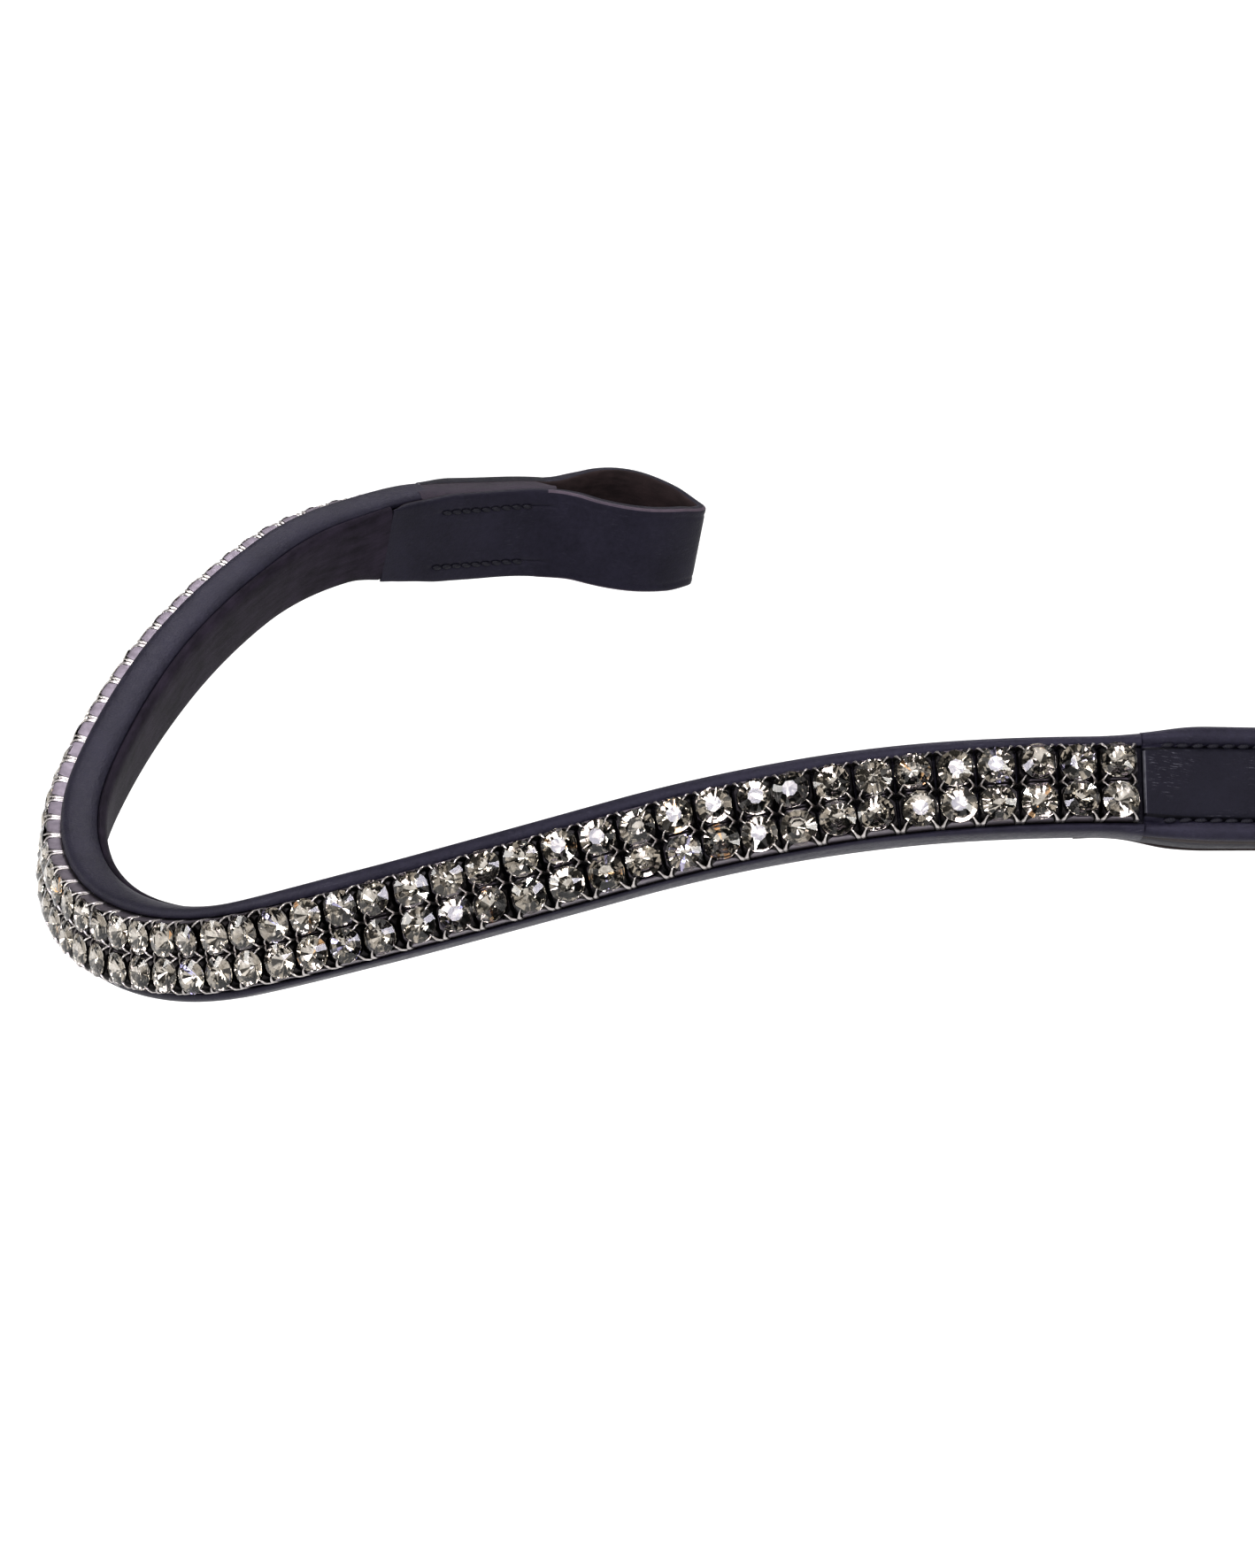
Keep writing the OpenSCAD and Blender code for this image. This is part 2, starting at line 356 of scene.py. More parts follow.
LEATHER_TINT = rgb(0.78, 0.75, 0.95)
SCUFFED = rgb(0.10, 0.10, 0.12)


def leather(name, dark, light, roughness, grain=1.0, scuffs=0.0, shine=0.2):
    """Dyed leather: soft colour patches, fine pores, hair-fine creases and a few scuffs."""
    m = Nodes(name)
    place = m.coords()
    patches = m.noise(place, 0.12, 5.0)
    mottle = m.noise(place, 1.1, 6.0, 0.65)
    tone = m.math("ADD", m.math("MULTIPLY", patches, 0.5), m.math("MULTIPLY", mottle, 0.5))
    colour = m.blend(m.band(tone, 0.36, 0.66), dark, light)
    if scuffs:
        scratch = m.noise(m.lengths(7.0), 0.55, 8.0, 0.7)
        where = m.noise(place, 0.16, 2.0)
        worn = m.math("MULTIPLY", m.band(scratch, 0.56, 0.70), m.band(where, 0.46, 0.62))
        colour = m.blend(m.math("MULTIPLY", worn, scuffs), colour, SCUFFED)
    pores = m.cells(place, 2.6)
    pebble = m.noise(place, 3.4, 5.0, 0.7)
    crease = m.noise(m.lengths(2.6), 0.22, 7.0, 0.62)
    normal = m.bump(pebble, 0.06, 0.6 * grain)
    normal = m.bump(pores, 0.05, 0.5 * grain, normal)
    normal = m.bump(crease, 0.3, 0.35 * grain, normal)
    rough = m.band(mottle, 0.3, 0.7, roughness - 0.07, roughness + 0.09)
    return m.finish(
        Base_Color=colour,
        Roughness=rough,
        Normal=normal,
        Specular_IOR_Level=shine,
        Specular_Tint=LEATHER_TINT,
    )


def suede(name, dark, light, shine=0.14):
    """Soft lining leather: matte nap with brushed streaks along the band."""
    m = Nodes(name)
    place = m.coords()
    streaks = m.noise(m.lengths(5.0), 0.16, 7.0, 0.65)
    nap = m.noise(place, 5.5, 4.0, 0.75)
    patches = m.noise(place, 0.2, 3.0)
    tone = m.math("ADD", m.math("MULTIPLY", streaks, 0.6), m.math("MULTIPLY", patches, 0.4))
    colour = m.blend(m.band(tone, 0.38, 0.64), dark, light)
    normal = m.bump(nap, 0.06, 0.6)
    normal = m.bump(streaks, 0.3, 0.35, normal)
    return m.finish(
        Base_Color=colour,
        Roughness=m.band(nap, 0.3, 0.7, 0.6, 0.78),
        Normal=normal,
        Specular_IOR_Level=shine,
    )


def thread_material():
    """Waxed two-ply thread with a slanting twist."""
    m = Nodes("waxed_thread")
    place = m.coords()
    inputs = {"Vector": place, "Scale": 1.5, "Distortion": 0.6}
    twist = m.add("ShaderNodeTexWave", inputs, bands_direction="DIAGONAL").outputs["Fac"]
    fuzz = m.noise(place, 9.0, 3.0)
    colour = m.blend(m.band(fuzz, 0.3, 0.7), rgb(0.0015, 0.0014, 0.003), rgb(0.007, 0.0066, 0.012))
    return m.finish(
        Base_Color=colour,
        Roughness=m.band(fuzz, 0.3, 0.7, 0.4, 0.55),
        Normal=m.bump(twist, 0.06, 0.5),
        Specular_IOR_Level=0.12,
    )


def foam_material():
    m = Nodes("padding_foam")
    place = m.coords()
    cells = m.cells(place, 1.6)
    return m.finish(
        Base_Color=m.blend(cells, rgb(0.02, 0.02, 0.02), rgb(0.07, 0.07, 0.07)),
        Roughness=0.9,
        Normal=m.bump(cells, 0.15, 0.5),
    )


def metal_material(name, dark, light, roughness, wear=0.3):
    """Dark nickel plate, smudged and lightly brushed."""
    m = Nodes(name)
    place = m.coords()
    smudge = m.noise(place, 0.7, 5.0, 0.6)
    brushed = m.noise(place, 6.0, 4.0, 0.7)
    colour = m.blend(m.band(smudge, 0.35, 0.7), dark, light)
    rough = m.band(brushed, 0.3, 0.7, roughness * (1 - wear), roughness * (1 + wear))
    return m.finish(
        Base_Color=colour,
        Metallic=1.0,
        Roughness=rough,
        Normal=m.bump(brushed, 0.02, 0.25),
    )


def crystal_material():
    """Smoky olive glass, cut and polished."""
    m = Nodes("smoky_crystal")
    place = m.coords()
    cloud = m.noise(place, 0.35, 2.0)
    colour = m.blend(m.band(cloud, 0.35, 0.65), rgb(0.83, 0.81, 0.77), rgb(0.92, 0.90, 0.87))
    return m.finish(
        Base_Color=colour,
        Roughness=0.0,
        IOR=1.48,
        Transmission_Weight=1.0,
    )


def foil_material(name, low, high):
    """Silvered back of a crystal."""
    m = Nodes(name)
    place = m.coords()
    cloud = m.noise(place, 1.2, 3.0)
    return m.finish(
        Base_Color=m.blend(m.band(cloud, 0.35, 0.65), low, high),
        Metallic=1.0,
        Roughness=0.03,
    )


# Leathers: name, darkest and lightest dye or painted light, roughness, grain, scuffs, shine
FACE = leather(
    "face_leather", rgb(0.0036, 0.0033, 0.0072), rgb(0.0115, 0.0104, 0.0195), 0.46, 1.0, 0.3, 0.17
)
PANEL = leather(
    "panel_leather", rgb(0.0018, 0.0018, 0.0034), rgb(0.0050, 0.0049, 0.0085), 0.42, 0.8, 0.9, 0.085
)
LOOP = leather(
    "loop_leather", rgb(0.0030, 0.0027, 0.0056), rgb(0.0080, 0.0072, 0.0135), 0.46, 0.8, 0.12, 0.10
)
# Lighter band for the loop's rounded rims: a painted highlight where the top light falls.
LOOP_HIGHLIGHT = leather("loop_rim_painted_highlight", rgb(0.024, 0.017, 0.023), rgb(0.060, 0.044, 0.057), 0.5, 0.7, 0.0, 0.25)
WORN = leather("worn_cut_edge", rgb(0.012, 0.012, 0.016), rgb(0.09, 0.09, 0.10), 0.45, 0.8, 0.0, 0.2)
# Near-black painted shade for the recessed channel beside the cups and for the stitch grooves.
PAINTED_SHADE = leather("channel_and_groove_painted_shade", rgb(0.0006, 0.0006, 0.001), rgb(0.002, 0.002, 0.003), 0.4, 0.8, 0.0, 0.08)
# Burnished filler edge in two copies: this darker one is painted shade for the near tab's underside.
FILLER_SHADE = leather(
    "burnished_filler_painted_shade", rgb(0.0026, 0.0023, 0.0046), rgb(0.0070, 0.0060, 0.0110), 0.5, 0.7, 0.0, 0.08
)
# Lighter copy of the same edge: painted highlight for the far tab's top.
FILLER_HIGHLIGHT = leather("burnished_filler_painted_highlight", rgb(0.010, 0.0075, 0.011), rgb(0.026, 0.0195, 0.027), 0.5, 0.7, 0.0, 0.15)
FLESH = suede("loop_flesh_side", rgb(0.006, 0.0035, 0.0038), rgb(0.018, 0.0112, 0.0115), 0.08)
LINING = suede("lining_leather", rgb(0.0046, 0.0035, 0.0060), rgb(0.0150, 0.0112, 0.0190), 0.05)
FOAM = foam_material()
THREAD = thread_material()
CUP = metal_material("dark_nickel", rgb(0.105, 0.091, 0.106), rgb(0.175, 0.154, 0.176), 0.42)
# Near-black copy of the cups' nickel: painted shade on the rims, corners and walls between the columns.
CUP_SHADE = metal_material("nickel_painted_shade", rgb(0.008, 0.0075, 0.008), rgb(0.03, 0.027, 0.028), 0.35)
PRONG = metal_material("bright_nickel", rgb(0.33, 0.305, 0.295), rgb(0.54, 0.505, 0.49), 0.3)
CRYSTAL = crystal_material()
FOIL = foil_material("crystal_foil", rgb(0.40, 0.375, 0.34), rgb(0.66, 0.63, 0.585))
# Orange and blue copies of the foil for a few facets: painted flashes of fire.
FIRE_ORANGE = foil_material("crystal_painted_fire_orange", rgb(0.95, 0.50, 0.25), rgb(1.0, 0.72, 0.42))
FIRE_BLUE = foil_material("crystal_painted_fire_blue", rgb(0.5, 0.5, 0.9), rgb(0.68, 0.68, 1.0))


# --- The strap -------------------------------------------------------------------------------

def strap_half(c):
    """Half width of the leather, which widens into the tab sooner on the far half."""
    early = 1.1 if c > 0 else 3.0
    flare = ease((abs(c) - HALF_COLUMNS + early) / 3.0)
    return mix(STRAP_HALF, TAB_HALF if c < 0 else NEAR_TAB_HALF, flare)


def set_off(c):
    """How far the leather sits above the middle of the crystal rows; the far tab sags below it."""
    d = abs(c)
    most = 0.85 if c > 0 else 0.35
    sag = 0.0 if c > 0 else 0.5 * ease((d - 26) / 3) * (1 - ease((d - 31) / 2.5))
    return most * ease((d - 2) / 7) * (1 - 0.75 * ease((d - 21) / 7)) - sag


def back_at(c):
    """Depth of the back face under the channel floor."""
    return BACK - BACK_THINNING * ease((abs(c) - HALF_COLUMNS) / (THROAT - HALF_COLUMNS))


# Outer side of the face leather from the channel floor over the low lip to the crease behind it,
# as (distance in from the strap's half width, n); the first part is the channel edge, in painted shade.
CHANNEL_EDGE = [(1.50, 0.0), (1.49, 0.25), (1.46, 0.5)]
LIP = [
    (1.36, 0.66), (1.15, 0.79), (0.85, 0.83), (0.55, 0.72), (0.3, 0.5), (0.13, 0.15),
    (0.03, -0.4), (-0.02, -1.1), (-0.03, -1.9), (0.0, -2.7), (0.1, -3.4), (0.26, -4.0),
    (0.5, -4.48), (0.72, -4.66), (0.88, -4.68),
]


def face_section(c):
    """Closed outline of the face leather: a C that wraps the padding."""
    halves = []
    for off in (set_off(c), -set_off(c)):
        w = strap_half(c) + off
        squeeze = (w - CHANNEL_HALF) / (STRAP_HALF - CHANNEL_HALF)
        lip = [(w - d * (squeeze if n > -0.2 else 1.0), n) for d, n in CHANNEL_EDGE + LIP]
        inner = [(w - 1.25, -4.72), (w - 1.4, -4.5), (w - 1.42, -SKIN), (2.6, -SKIN)]
        floor = [(v, 0.0) for v in (0.9, 1.9, 2.9, 3.9, 4.8)]
        halves.append([(0.001, -SKIN)] + inner[::-1] + lip[::-1] + floor[::-1])
    return halves[0] + [(-v, n) for v, n in reversed(halves[1])]


def face_materials(size):
    """Material slots round a face section of size points: the channel floor and the lip's inner slope get
    near-black painted shade.
    """
    first = len(LIP) + 4
    return lambda r, k: 1 if first <= k < size - first - 1 else 0


def moved(section, off):
    return [(v + off, n) for v, n in section]


def lining_section(c):
    w = strap_half(c)
    return moved(mirrored([
        (2.0, -4.74), (w - 1.2, -4.72), (w - 0.7, -4.76), (w - 0.5, -4.98), (w - 0.54, -5.4),
        (w - 0.85, -5.86), (w - 1.4, -6.16), (w - 2.4, -6.3), (2.5, -6.36), (1.0, -6.38),
    ]), set_off(c))


def padding_section(c):
    half = STRAP_HALF - 1.6
    return moved(mirrored([(half, -4.6), (half, -SKIN - 0.1)]), set_off(c))


def swept_strap(name, side, start, end, section, materials, slots=None, spacing=1.1, sharp=40):
    rings = [strap_ring(side * c, section(side * c)) for c in stations(start, end, spacing)]
    ring_material = slots(len(rings[0])) if slots else None
    return outward(sweep(name, rings, materials, ring_material, sharp=sharp))


def across_brow(obj):
    """Bakes a piece's placement into its mesh."""
    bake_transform(obj)


def make_strap(label):
    side = SIDES[label]
    face = swept_strap(
        "face_leather_" + label, side, 0, TAB_START, face_section, [FACE, PAINTED_SHADE], face_materials
    )
    lining = swept_strap("lining_" + label, side, 0, FLAP_START, lining_section, [LINING])
    padding = swept_strap(
        "padding_" + label, side, 0, TAB_START - 0.1, padding_section, [FOAM], spacing=2.7
    )
    for obj, slot, node in (
        (face, "face_leather", "face_"),
        (lining, "lining_leather", "lining_"),
        (padding, "padding", "core_"),
    ):
        across_brow(obj)
        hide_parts(node + "centre", node + label)


# --- Tab and loop: one strip that turns back on itself -----------------------------------------

EDGE_ROUND = 0.55     # rounding of the strip's long edges
FLANK = 0.45          # swell of the tab's flanks outside the stitch grooves
FRONT_THICK = TAB_FACE + SKIN
FLAP_THICK = 1.4
LOOP_THICK = 2.0


def edge_drop(v, half, r):
    """How far a rounded edge falls away from the strip's flat face at v."""
    x = abs(v) - (half - r)
    return 0.0 if x <= 0 else r - math.sqrt(max(r * r - x * x, 0.0))


def grain_height(v, half, tab, crease):
    """Height of the strip's grain side above flat: grooves and flanks on the tab, creases on the loop."""
    a = abs(v)
    groove = -0.75 * math.exp(-(((a - GROOVE_V) / 0.36) ** 2))
    across = min(max((a - GROOVE_V - 0.1) / (half - GROOVE_V - 0.1), 0), 1)
    swell = FLANK * math.sin(math.pi * across) ** 0.8
    line = -0.14 * math.exp(-(((a - half + 1.5) / 0.22) ** 2))
    return tab * (groove + swell) + crease * line


# Places across the strip's grain side, as shares of its half width
SHARES = [
    -1, -0.985, -0.955, -0.91, -0.86, -0.82, -0.78, -0.73, -0.69, -0.66, -0.63, -0.60, -0.57, -0.52,
    -0.4, -0.2, 0, 0.2, 0.4, 0.52, 0.57, 0.60, 0.63, 0.66, 0.69, 0.73, 0.78, 0.82, 0.86, 0.91, 0.955,
    0.985, 1,
]


def strip_section(half, thick, tab=0.0, crease=0.0, groove=0.0, sunk=0.0):
    """Closed outline of the strip as (v, height over its middle layer); sunk lowers its flanks."""
    r = min(EDGE_ROUND, thick * 0.42)
    grain = []
    for share in SHARES:
        v = share * half
        height = grain_height(v, half, tab, crease)
        height -= groove * 0.35 * math.exp(-(((abs(v) - GROOVE_V) / 0.32) ** 2))
        height -= sunk * ease((abs(v) - GROOVE_V + 0.1) / 0.5)
        grain.append((v, thick / 2 - edge_drop(v, half, r) + height))
    flesh = [
        (share * half, -thick / 2 + edge_drop(share * half, half, r * 0.7))
        for share in (1, 0.985, 0.955, 0.6, 0, -0.6, -0.955, -0.985, -1)
    ]
    return grain + flesh


EYE_LEN = 27.4        # from the throat to the middle of the loop's wall at its tip
EYE_STEPS = 4         # points on each stretch of the loop's middle line


def eye_line(root_front, root_back):
    """Middle line of the loop's wall as (u, height), from the front root round the tip to the back."""
    front = [
        (0.0, root_front), (2.6, root_front + 0.25), (5.6, 3.9), (9.0, 5.95), (13.0, 7.1),
        (17.0, 7.0), (20.8, 5.6), (24.0, 3.6), (26.2, 1.75),
    ]
    back = [(u, -h) for u, h in front[:0:-1]]
    back[-1] = (2.6, root_back - 0.25)
    points = front + [(EYE_LEN, 0.0)] + back + [(0.0, root_back)]
    ends = [(-3.0, root_front)] + points + [(-3.0, root_back)]
    line = []
    for p0, p1, p2, p3 in zip(ends, ends[1:], ends[2:], ends[3:]):
        for i in range(EYE_STEPS):
            t = i / EYE_STEPS
            line.append(tuple(
                0.5 * (2 * b + (c - a) * t + (2 * a - 5 * b + 4 * c - d) * t * t
                       + (3 * b - a - 3 * c + d) * t ** 3)
                for a, b, c, d in zip(p0, p1, p2, p3)
            ))
    line.append(points[-1])
    return line


def throat_middle():
    """Height of the middle of the leather's whole thickness at the throat."""
    return (TAB_FACE - back_at(THROAT)) / 2


def directions(side, c):
    """Outward along the band, normal and up at column c of one half."""
    _, normal, up = frame_at(side * c)
    return np.cross(up, normal) * side, normal, up


def loop_frame(side):
    """Root point, and the throat's and the loop's own directions."""
    base = on_strap(side * THROAT, 0, throat_middle())
    return base, directions(side, THROAT), directions(side, THROAT + LOOP_LEN / PITCH / 2)


def tab_station(side, c, layer_n, section, facing):
    """Ring of the strip at column c, whose middle layer lies at layer_n; facing is 1 or -1."""
    point, normal, up = smooth_frame(side * c)
    return [point + up * v + normal * (layer_n + facing * t) for v, t in section]


def make_end(label):
    side = SIDES[label]
    rings = []
    front_n = (TAB_FACE - SKIN) / 2
    columns = [TAB_START, TAB_START + 0.06] + stations(TAB_START + 0.13, THROAT - 0.12, 0.9)
    for c in columns:
        sunk = 1.1 * (1 - ease((c - TAB_START) / 1.3))
        section = strip_section(strap_half(side * c), FRONT_THICK, 1.0, sunk=sunk)
        dip = 0.28 if c == TAB_START else 0.0
        section = [(v, t - dip if t > 0 else t) for v, t in section]
        rings.append(tab_station(side, c, front_n, moved(section, set_off(side * c)), 1))
    base, root, lie = loop_frame(side)
    root_front = front_n - throat_middle()
    root_back = -back_at(THROAT) + FLAP_THICK / 2 - throat_middle()
    line = eye_line(root_front, root_back)
    travel = np.cumsum([0.0] + [math.dist(a, b) for a, b in zip(line, line[1:])])
    for i, (u, h) in enumerate(line):
        before = line[max(i - 1, 0)]
        after = line[min(i + 1, len(line) - 1)]
        du, dh = after[0] - before[0], after[1] - before[1]
        step = math.hypot(du, dh)
        tu, th = -dh / step, du / step
        blend = ease(u / 7.0)
        frame_u = unit(mix(root[0], lie[0], blend))
        frame_n = unit(mix(root[1], lie[1], blend))
        frame_b = unit(mix(root[2], lie[2], blend))
        done = travel[i]
        rest = travel[-1] - travel[i]
        tab = 1 - ease(done / 7.0)
        crease = ease(done / 9.0) * ease(rest / 7.0)
        thick = mix(FRONT_THICK, LOOP_THICK, ease(done / 9.0))
        thick = mix(FLAP_THICK, thick, ease(rest / 6.0))
        groove = 1 - ease(rest / 3.0)
        half = strap_half(side * THROAT) - 0.5 * ease(u / 9) - 0.4 * ease((u - 23) / 4)
        bow = LOOP_BOW * math.sin(math.pi * min(max(u / LOOP_LEN, 0.0), 1.0))
        middle_point = base + lie[0] * u + frame_n * (h + bow)
        thickness = frame_u * tu + frame_n * th
        section = strip_section(half, thick, tab, crease, groove)
        off = set_off(side * THROAT) + 0.5 * ease(u / 9)
        if h > 0:
            off += 1.5 * math.sin(math.pi * max(u, 0) / EYE_LEN)
        rings.append([middle_point + frame_b * (v + off) + thickness * t for v, t in section])
    for c in stations(THROAT - 0.12, FLAP_START, 0.9):
        half = strap_half(side * c) - 0.05 - 0.55 * ease((TAB_START + 0.9 - c) / 1.4)
        thin = mix(1.0, 0.25, ease((FLAP_START + 0.7 - c) / 0.7))
        groove = ease((c - TAB_START - 0.2) / 0.3)
        section = strip_section(half, FLAP_THICK * thin, 0.0, 0.0, groove)
        layer = -back_at(c) + FLAP_THICK * thin / 2
        rings.append(tab_station(side, c, layer - 0.02, moved(section, set_off(side * c)), -1))

    materials = [PANEL, FLESH, PAINTED_SHADE, WORN, LOOP, LOOP_HIGHLIGHT, FACE]
    panel, flesh, groove_shade, worn, loop, rim_highlight, flank = range(len(materials))

    def slot_at(r, k):
        if k >= len(SHARES):
            return flesh
        share = abs(SHARES[k] + SHARES[(k + 1) % len(SHARES)]) / 2
        if r >= len(columns):
            # The loop's rounded rims take the lighter painted highlight.
            return rim_highlight if share > 0.95 and r < len(columns) + len(line) else loop
        if share > 0.66:
            return flank
        # Painted shade: the stitch grooves take the near-black channel material.
        if share > 0.60:
            return groove_shade
        return worn if r == 0 else panel

    obj = outward(sweep("end_leather_" + label, rings, materials, slot_at, sharp=50))
    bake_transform(obj)
    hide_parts("tab_" + label, "flap_" + label, "loop_" + label)

    # The near tab's filler takes the shaded edge copy and the far tab's the lit copy: painted light.
    filler = swept_strap(
        "tab_filler_" + label, side, TAB_START - 0.3, THROAT + 0.25, filler_section,
        [FILLER_SHADE if side > 0 else FILLER_HIGHLIGHT], spacing=1.1
    )
    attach(filler, label + "_side")
    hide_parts("filler_" + label)


def filler_section(c):
    w = strap_half(c) - 0.03
    pinch = ease((abs(c) - THROAT + 0.5) / 0.75)
    top = 0.75 - SKIN - 1.6 * pinch
    inset = 0.2 + 0.6 * (1 - ease((abs(c) - TAB_START) / 1.5))
    bottom = 1.35 - back_at(c) + 0.1 * pinch - 0.15
    return moved(mirrored([
        (w - inset - 0.5, bottom), (w - inset, bottom + 0.1), (w - 0.02, bottom + 0.5 + inset),
        (w, top - 0.4), (w - 0.12, top - 0.1), (w - 0.5, top),
    ]), set_off(c))


# --- Stitches --------------------------------------------------------------------------------

STITCH_LEN = 1.75
STITCH_R = 0.42


def stitch_mesh(rows=7, sides=10):
    """A plump lens of thread lying along X."""
    verts = []
    for i in range(rows + 1):
        x = -STITCH_LEN / 2 + STITCH_LEN * i / rows
        r = STITCH_R * max(1 - (2 * x / STITCH_LEN) ** 2, 0.02) ** 0.5
        for k in range(sides):
            a = 2 * math.pi * k / sides
            verts.append((x, r * math.cos(a), 0.8 * r * math.sin(a)))
    faces = [
        (i * sides + k, (i + 1) * sides + k, (i + 1) * sides + (k + 1) % sides, i * sides + (k + 1) % sides)
        for i in range(rows)
        for k in range(sides)
    ]
    faces += [tuple(range(sides))[::-1], tuple(range(rows * sides, (rows + 1) * sides))]
    return verts, faces


def placed(verts, c, v, n, spin=0.0, tilt=(0.0, 0.0), flip=False):
    """Points in millimetres carried to column c, with X along the band, Y up and Z outward."""
    point, normal, up = frame_at(c)
    along = np.cross(up, normal)
    turn = np.array(
        Matrix.Rotation(tilt[0], 3, "X") @ Matrix.Rotation(tilt[1], 3, "Y") @ Matrix.Rotation(spin, 3, "Z")
    )
    local = np.array(verts, float) @ turn.T
    if flip:
        local[:, 2] *= -1
    axes = np.array([along, up, normal])
    return (point + up * v + normal * n + local @ axes) * MM


def collect(name, parts, materials, smooth, sharp=40):
    """One object from many (verts, faces, slots)."""
    verts, faces, slots = [], [], []
    for part_verts, part_faces, part_slots in parts:
        first = len(verts)
        verts += [tuple(p) for p in part_verts]
        faces += [tuple(first + i for i in face) for face in part_faces]
        slots += part_slots
    return new_object(name, verts, faces, materials, slots, smooth=smooth, sharp=sharp)


def make_stitches(label, row, v, rng):
    side = SIDES[label]
    verts, faces = stitch_mesh()
    first = TAB_START + 0.45
    count = int((THROAT - 0.3 - first) * PITCH / STITCH_PITCH)
    parts = []
    for i in range(count):
        c = side * (first + (i + 0.5) * STITCH_PITCH / PITCH)
        slant = math.radians(rng.uniform(3, 8)) * side
        front = placed(verts, c, v + set_off(c), TAB_FACE - 0.42 + rng.uniform(-0.04, 0.04), slant)
        back = placed(verts, c, v + set_off(c), -back_at(c) - 0.02, -slant)
        parts += [(front, faces, [0] * len(faces)), (back, faces, [0] * len(faces))]
    obj = outward(collect(row + "_stitches_" + label + "_thread", parts, [THREAD], True, 60))
    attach(obj, label + "_side")
    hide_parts(row + "_stitches_" + label)


# --- Cups ------------------------------------------------------------------------------------

CUP_SEAT = 0.1        # height of the cups' floors over the channel floor
CUP_HALF_X = 2.56     # along the band
CUP_HALF_Y = 2.55     # across the band
RIM_N = 2.74
STONE_R = 2.52


def cup_ring(grow, n, corner):
    """Eight-cornered outline of a cup, grown by grow, at height n."""
    x, y = CUP_HALF_X + grow, CUP_HALF_Y + grow
    k = corner
    return [
        (x - k, -y, n), (x, k - y, n), (x, y - k, n), (x - k, y, n),
        (k - x, y, n), (-x, y - k, n), (-x, k - y, n), (k - x, -y, n),
    ]


def round_ring(r, n):
    """Eight points of a circle, in line with those of cup_ring."""
    return [
        (r * math.cos(a), r * math.sin(a), n)
        for a in (math.radians(-67.5 + 45 * i) for i in range(8))
    ]


def bridge(faces, slots, low, high, size, slot):
    for k in range(size):
        faces.append((low + k, low + (k + 1) % size, high + (k + 1) % size, high + k))
        slots.append(slot)


def cup_mesh():
    """Open square cup: flat side plates, a rim cut away at the corners, and a floor; rim, seat, corners and
    the walls between columns get near-black painted shade.
    """
    rings = [
        cup_ring(-0.3, 0.0, 0.6), cup_ring(-0.02, 0.12, 0.62), cup_ring(0.0, 1.5, 0.7),
        cup_ring(-0.04, 2.4, 0.9), cup_ring(-0.12, RIM_N, 1.15),
        round_ring(2.34, RIM_N - 0.12), round_ring(2.2, RIM_N - 0.5),
        round_ring(1.2, 0.75), round_ring(0.3, 0.4),
    ]
    verts = [p for ring in rings for p in ring]
    faces, slots = [], []
    for i in range(len(rings) - 1):
        bridge(faces, slots, i * 8, (i + 1) * 8, 8, 2 if i > 4 else 0)
        if i <= 4:
            slots[-8:] = [0 if k in (3, 7) else 2 for k in range(8)]
    faces += [tuple(range(8))[::-1], tuple(range(len(verts) - 8, len(verts)))]
    slots += [0, 2]
    return verts, faces, slots


def bar_mesh(path, halves, across, thick):
    """A rounded strip of metal bent along a path of points, as (verts, faces)."""
    sides = 8
    across = np.array(across, float)
    verts = []
    for i, (point, half) in enumerate(zip(path, halves)):
        before = np.array(path[max(i - 1, 0)])
        after = np.array(path[min(i + 1, len(path) - 1)])
        out = unit(np.cross(across, after - before))
        for k in range(sides):
            a = 2 * math.pi * k / sides
            verts.append(tuple(np.array(point) + across * half * math.cos(a) + out * thick * math.sin(a)))
    faces = [
        (i * sides + k, i * sides + (k + 1) % sides, (i + 1) * sides + (k + 1) % sides, (i + 1) * sides + k)
        for i in range(len(path) - 1)
        for k in range(sides)
    ]
    last = (len(path) - 1) * sides
    return verts, faces + [tuple(range(sides))[::-1], tuple(range(last, last + sides))]


def prong_meshes():
    """The four prongs of a cup: up its upper or lower side beside a corner, then over the crystal."""
    prongs = []
    for sx in (1, -1):
        for sy in (1, -1):
            path = [
                (sx * 2.36, sy * 2.5, 0.1), (sx * 2.38, sy * 2.56, 0.9), (sx * 2.33, sy * 2.56, 1.8),
                (sx * 2.2, sy * 2.5, 2.45), (sx * 2.02, sy * 2.24, 2.8), (sx * 1.8, sy * 1.95, 3.0),
                (sx * 1.6, sy * 1.72, 3.08),
            ]
            halves = [0.36, 0.38, 0.33, 0.22, 0.16, 0.14, 0.09]
            prongs.append(bar_mesh(path, halves, (1, 0, 0), 0.15))
    return prongs


def make_cups(label, row, v):
    side = SIDES[label]
    verts, faces, slots = cup_mesh()
    prongs = prong_meshes()
    parts = []
    for i in range(HALF_COLUMNS):
        c = side * (i + 0.5)
        parts.append((placed(verts, c, v, CUP_SEAT), faces, slots))
        for prong_verts, prong_faces in prongs:
            parts.append((placed(prong_verts, c, v, CUP_SEAT), prong_faces, [1] * len(prong_faces)))
    obj = outward(collect(row + "_cup_row_" + label, parts, [CUP, PRONG, CUP_SHADE], True, 35))
    across_brow(obj)
    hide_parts(row + "_cups_centre", row + "_cups_" + label)


# --- Crystals --------------------------------------------------------------------------------

STONE_SEAT = 0.66     # height of a stone's own zero over the channel floor
TABLE_R = 1.12
TABLE_N = 3.02
CROWN_N = 2.45        # top and bottom of the girdle
GIRDLE_LOW = 2.33


def ring_points(count, r, n):
    turns = [2 * math.pi * k / count for k in range(count)]
    return [(r * math.cos(a), r * math.sin(a), n) for a in turns]


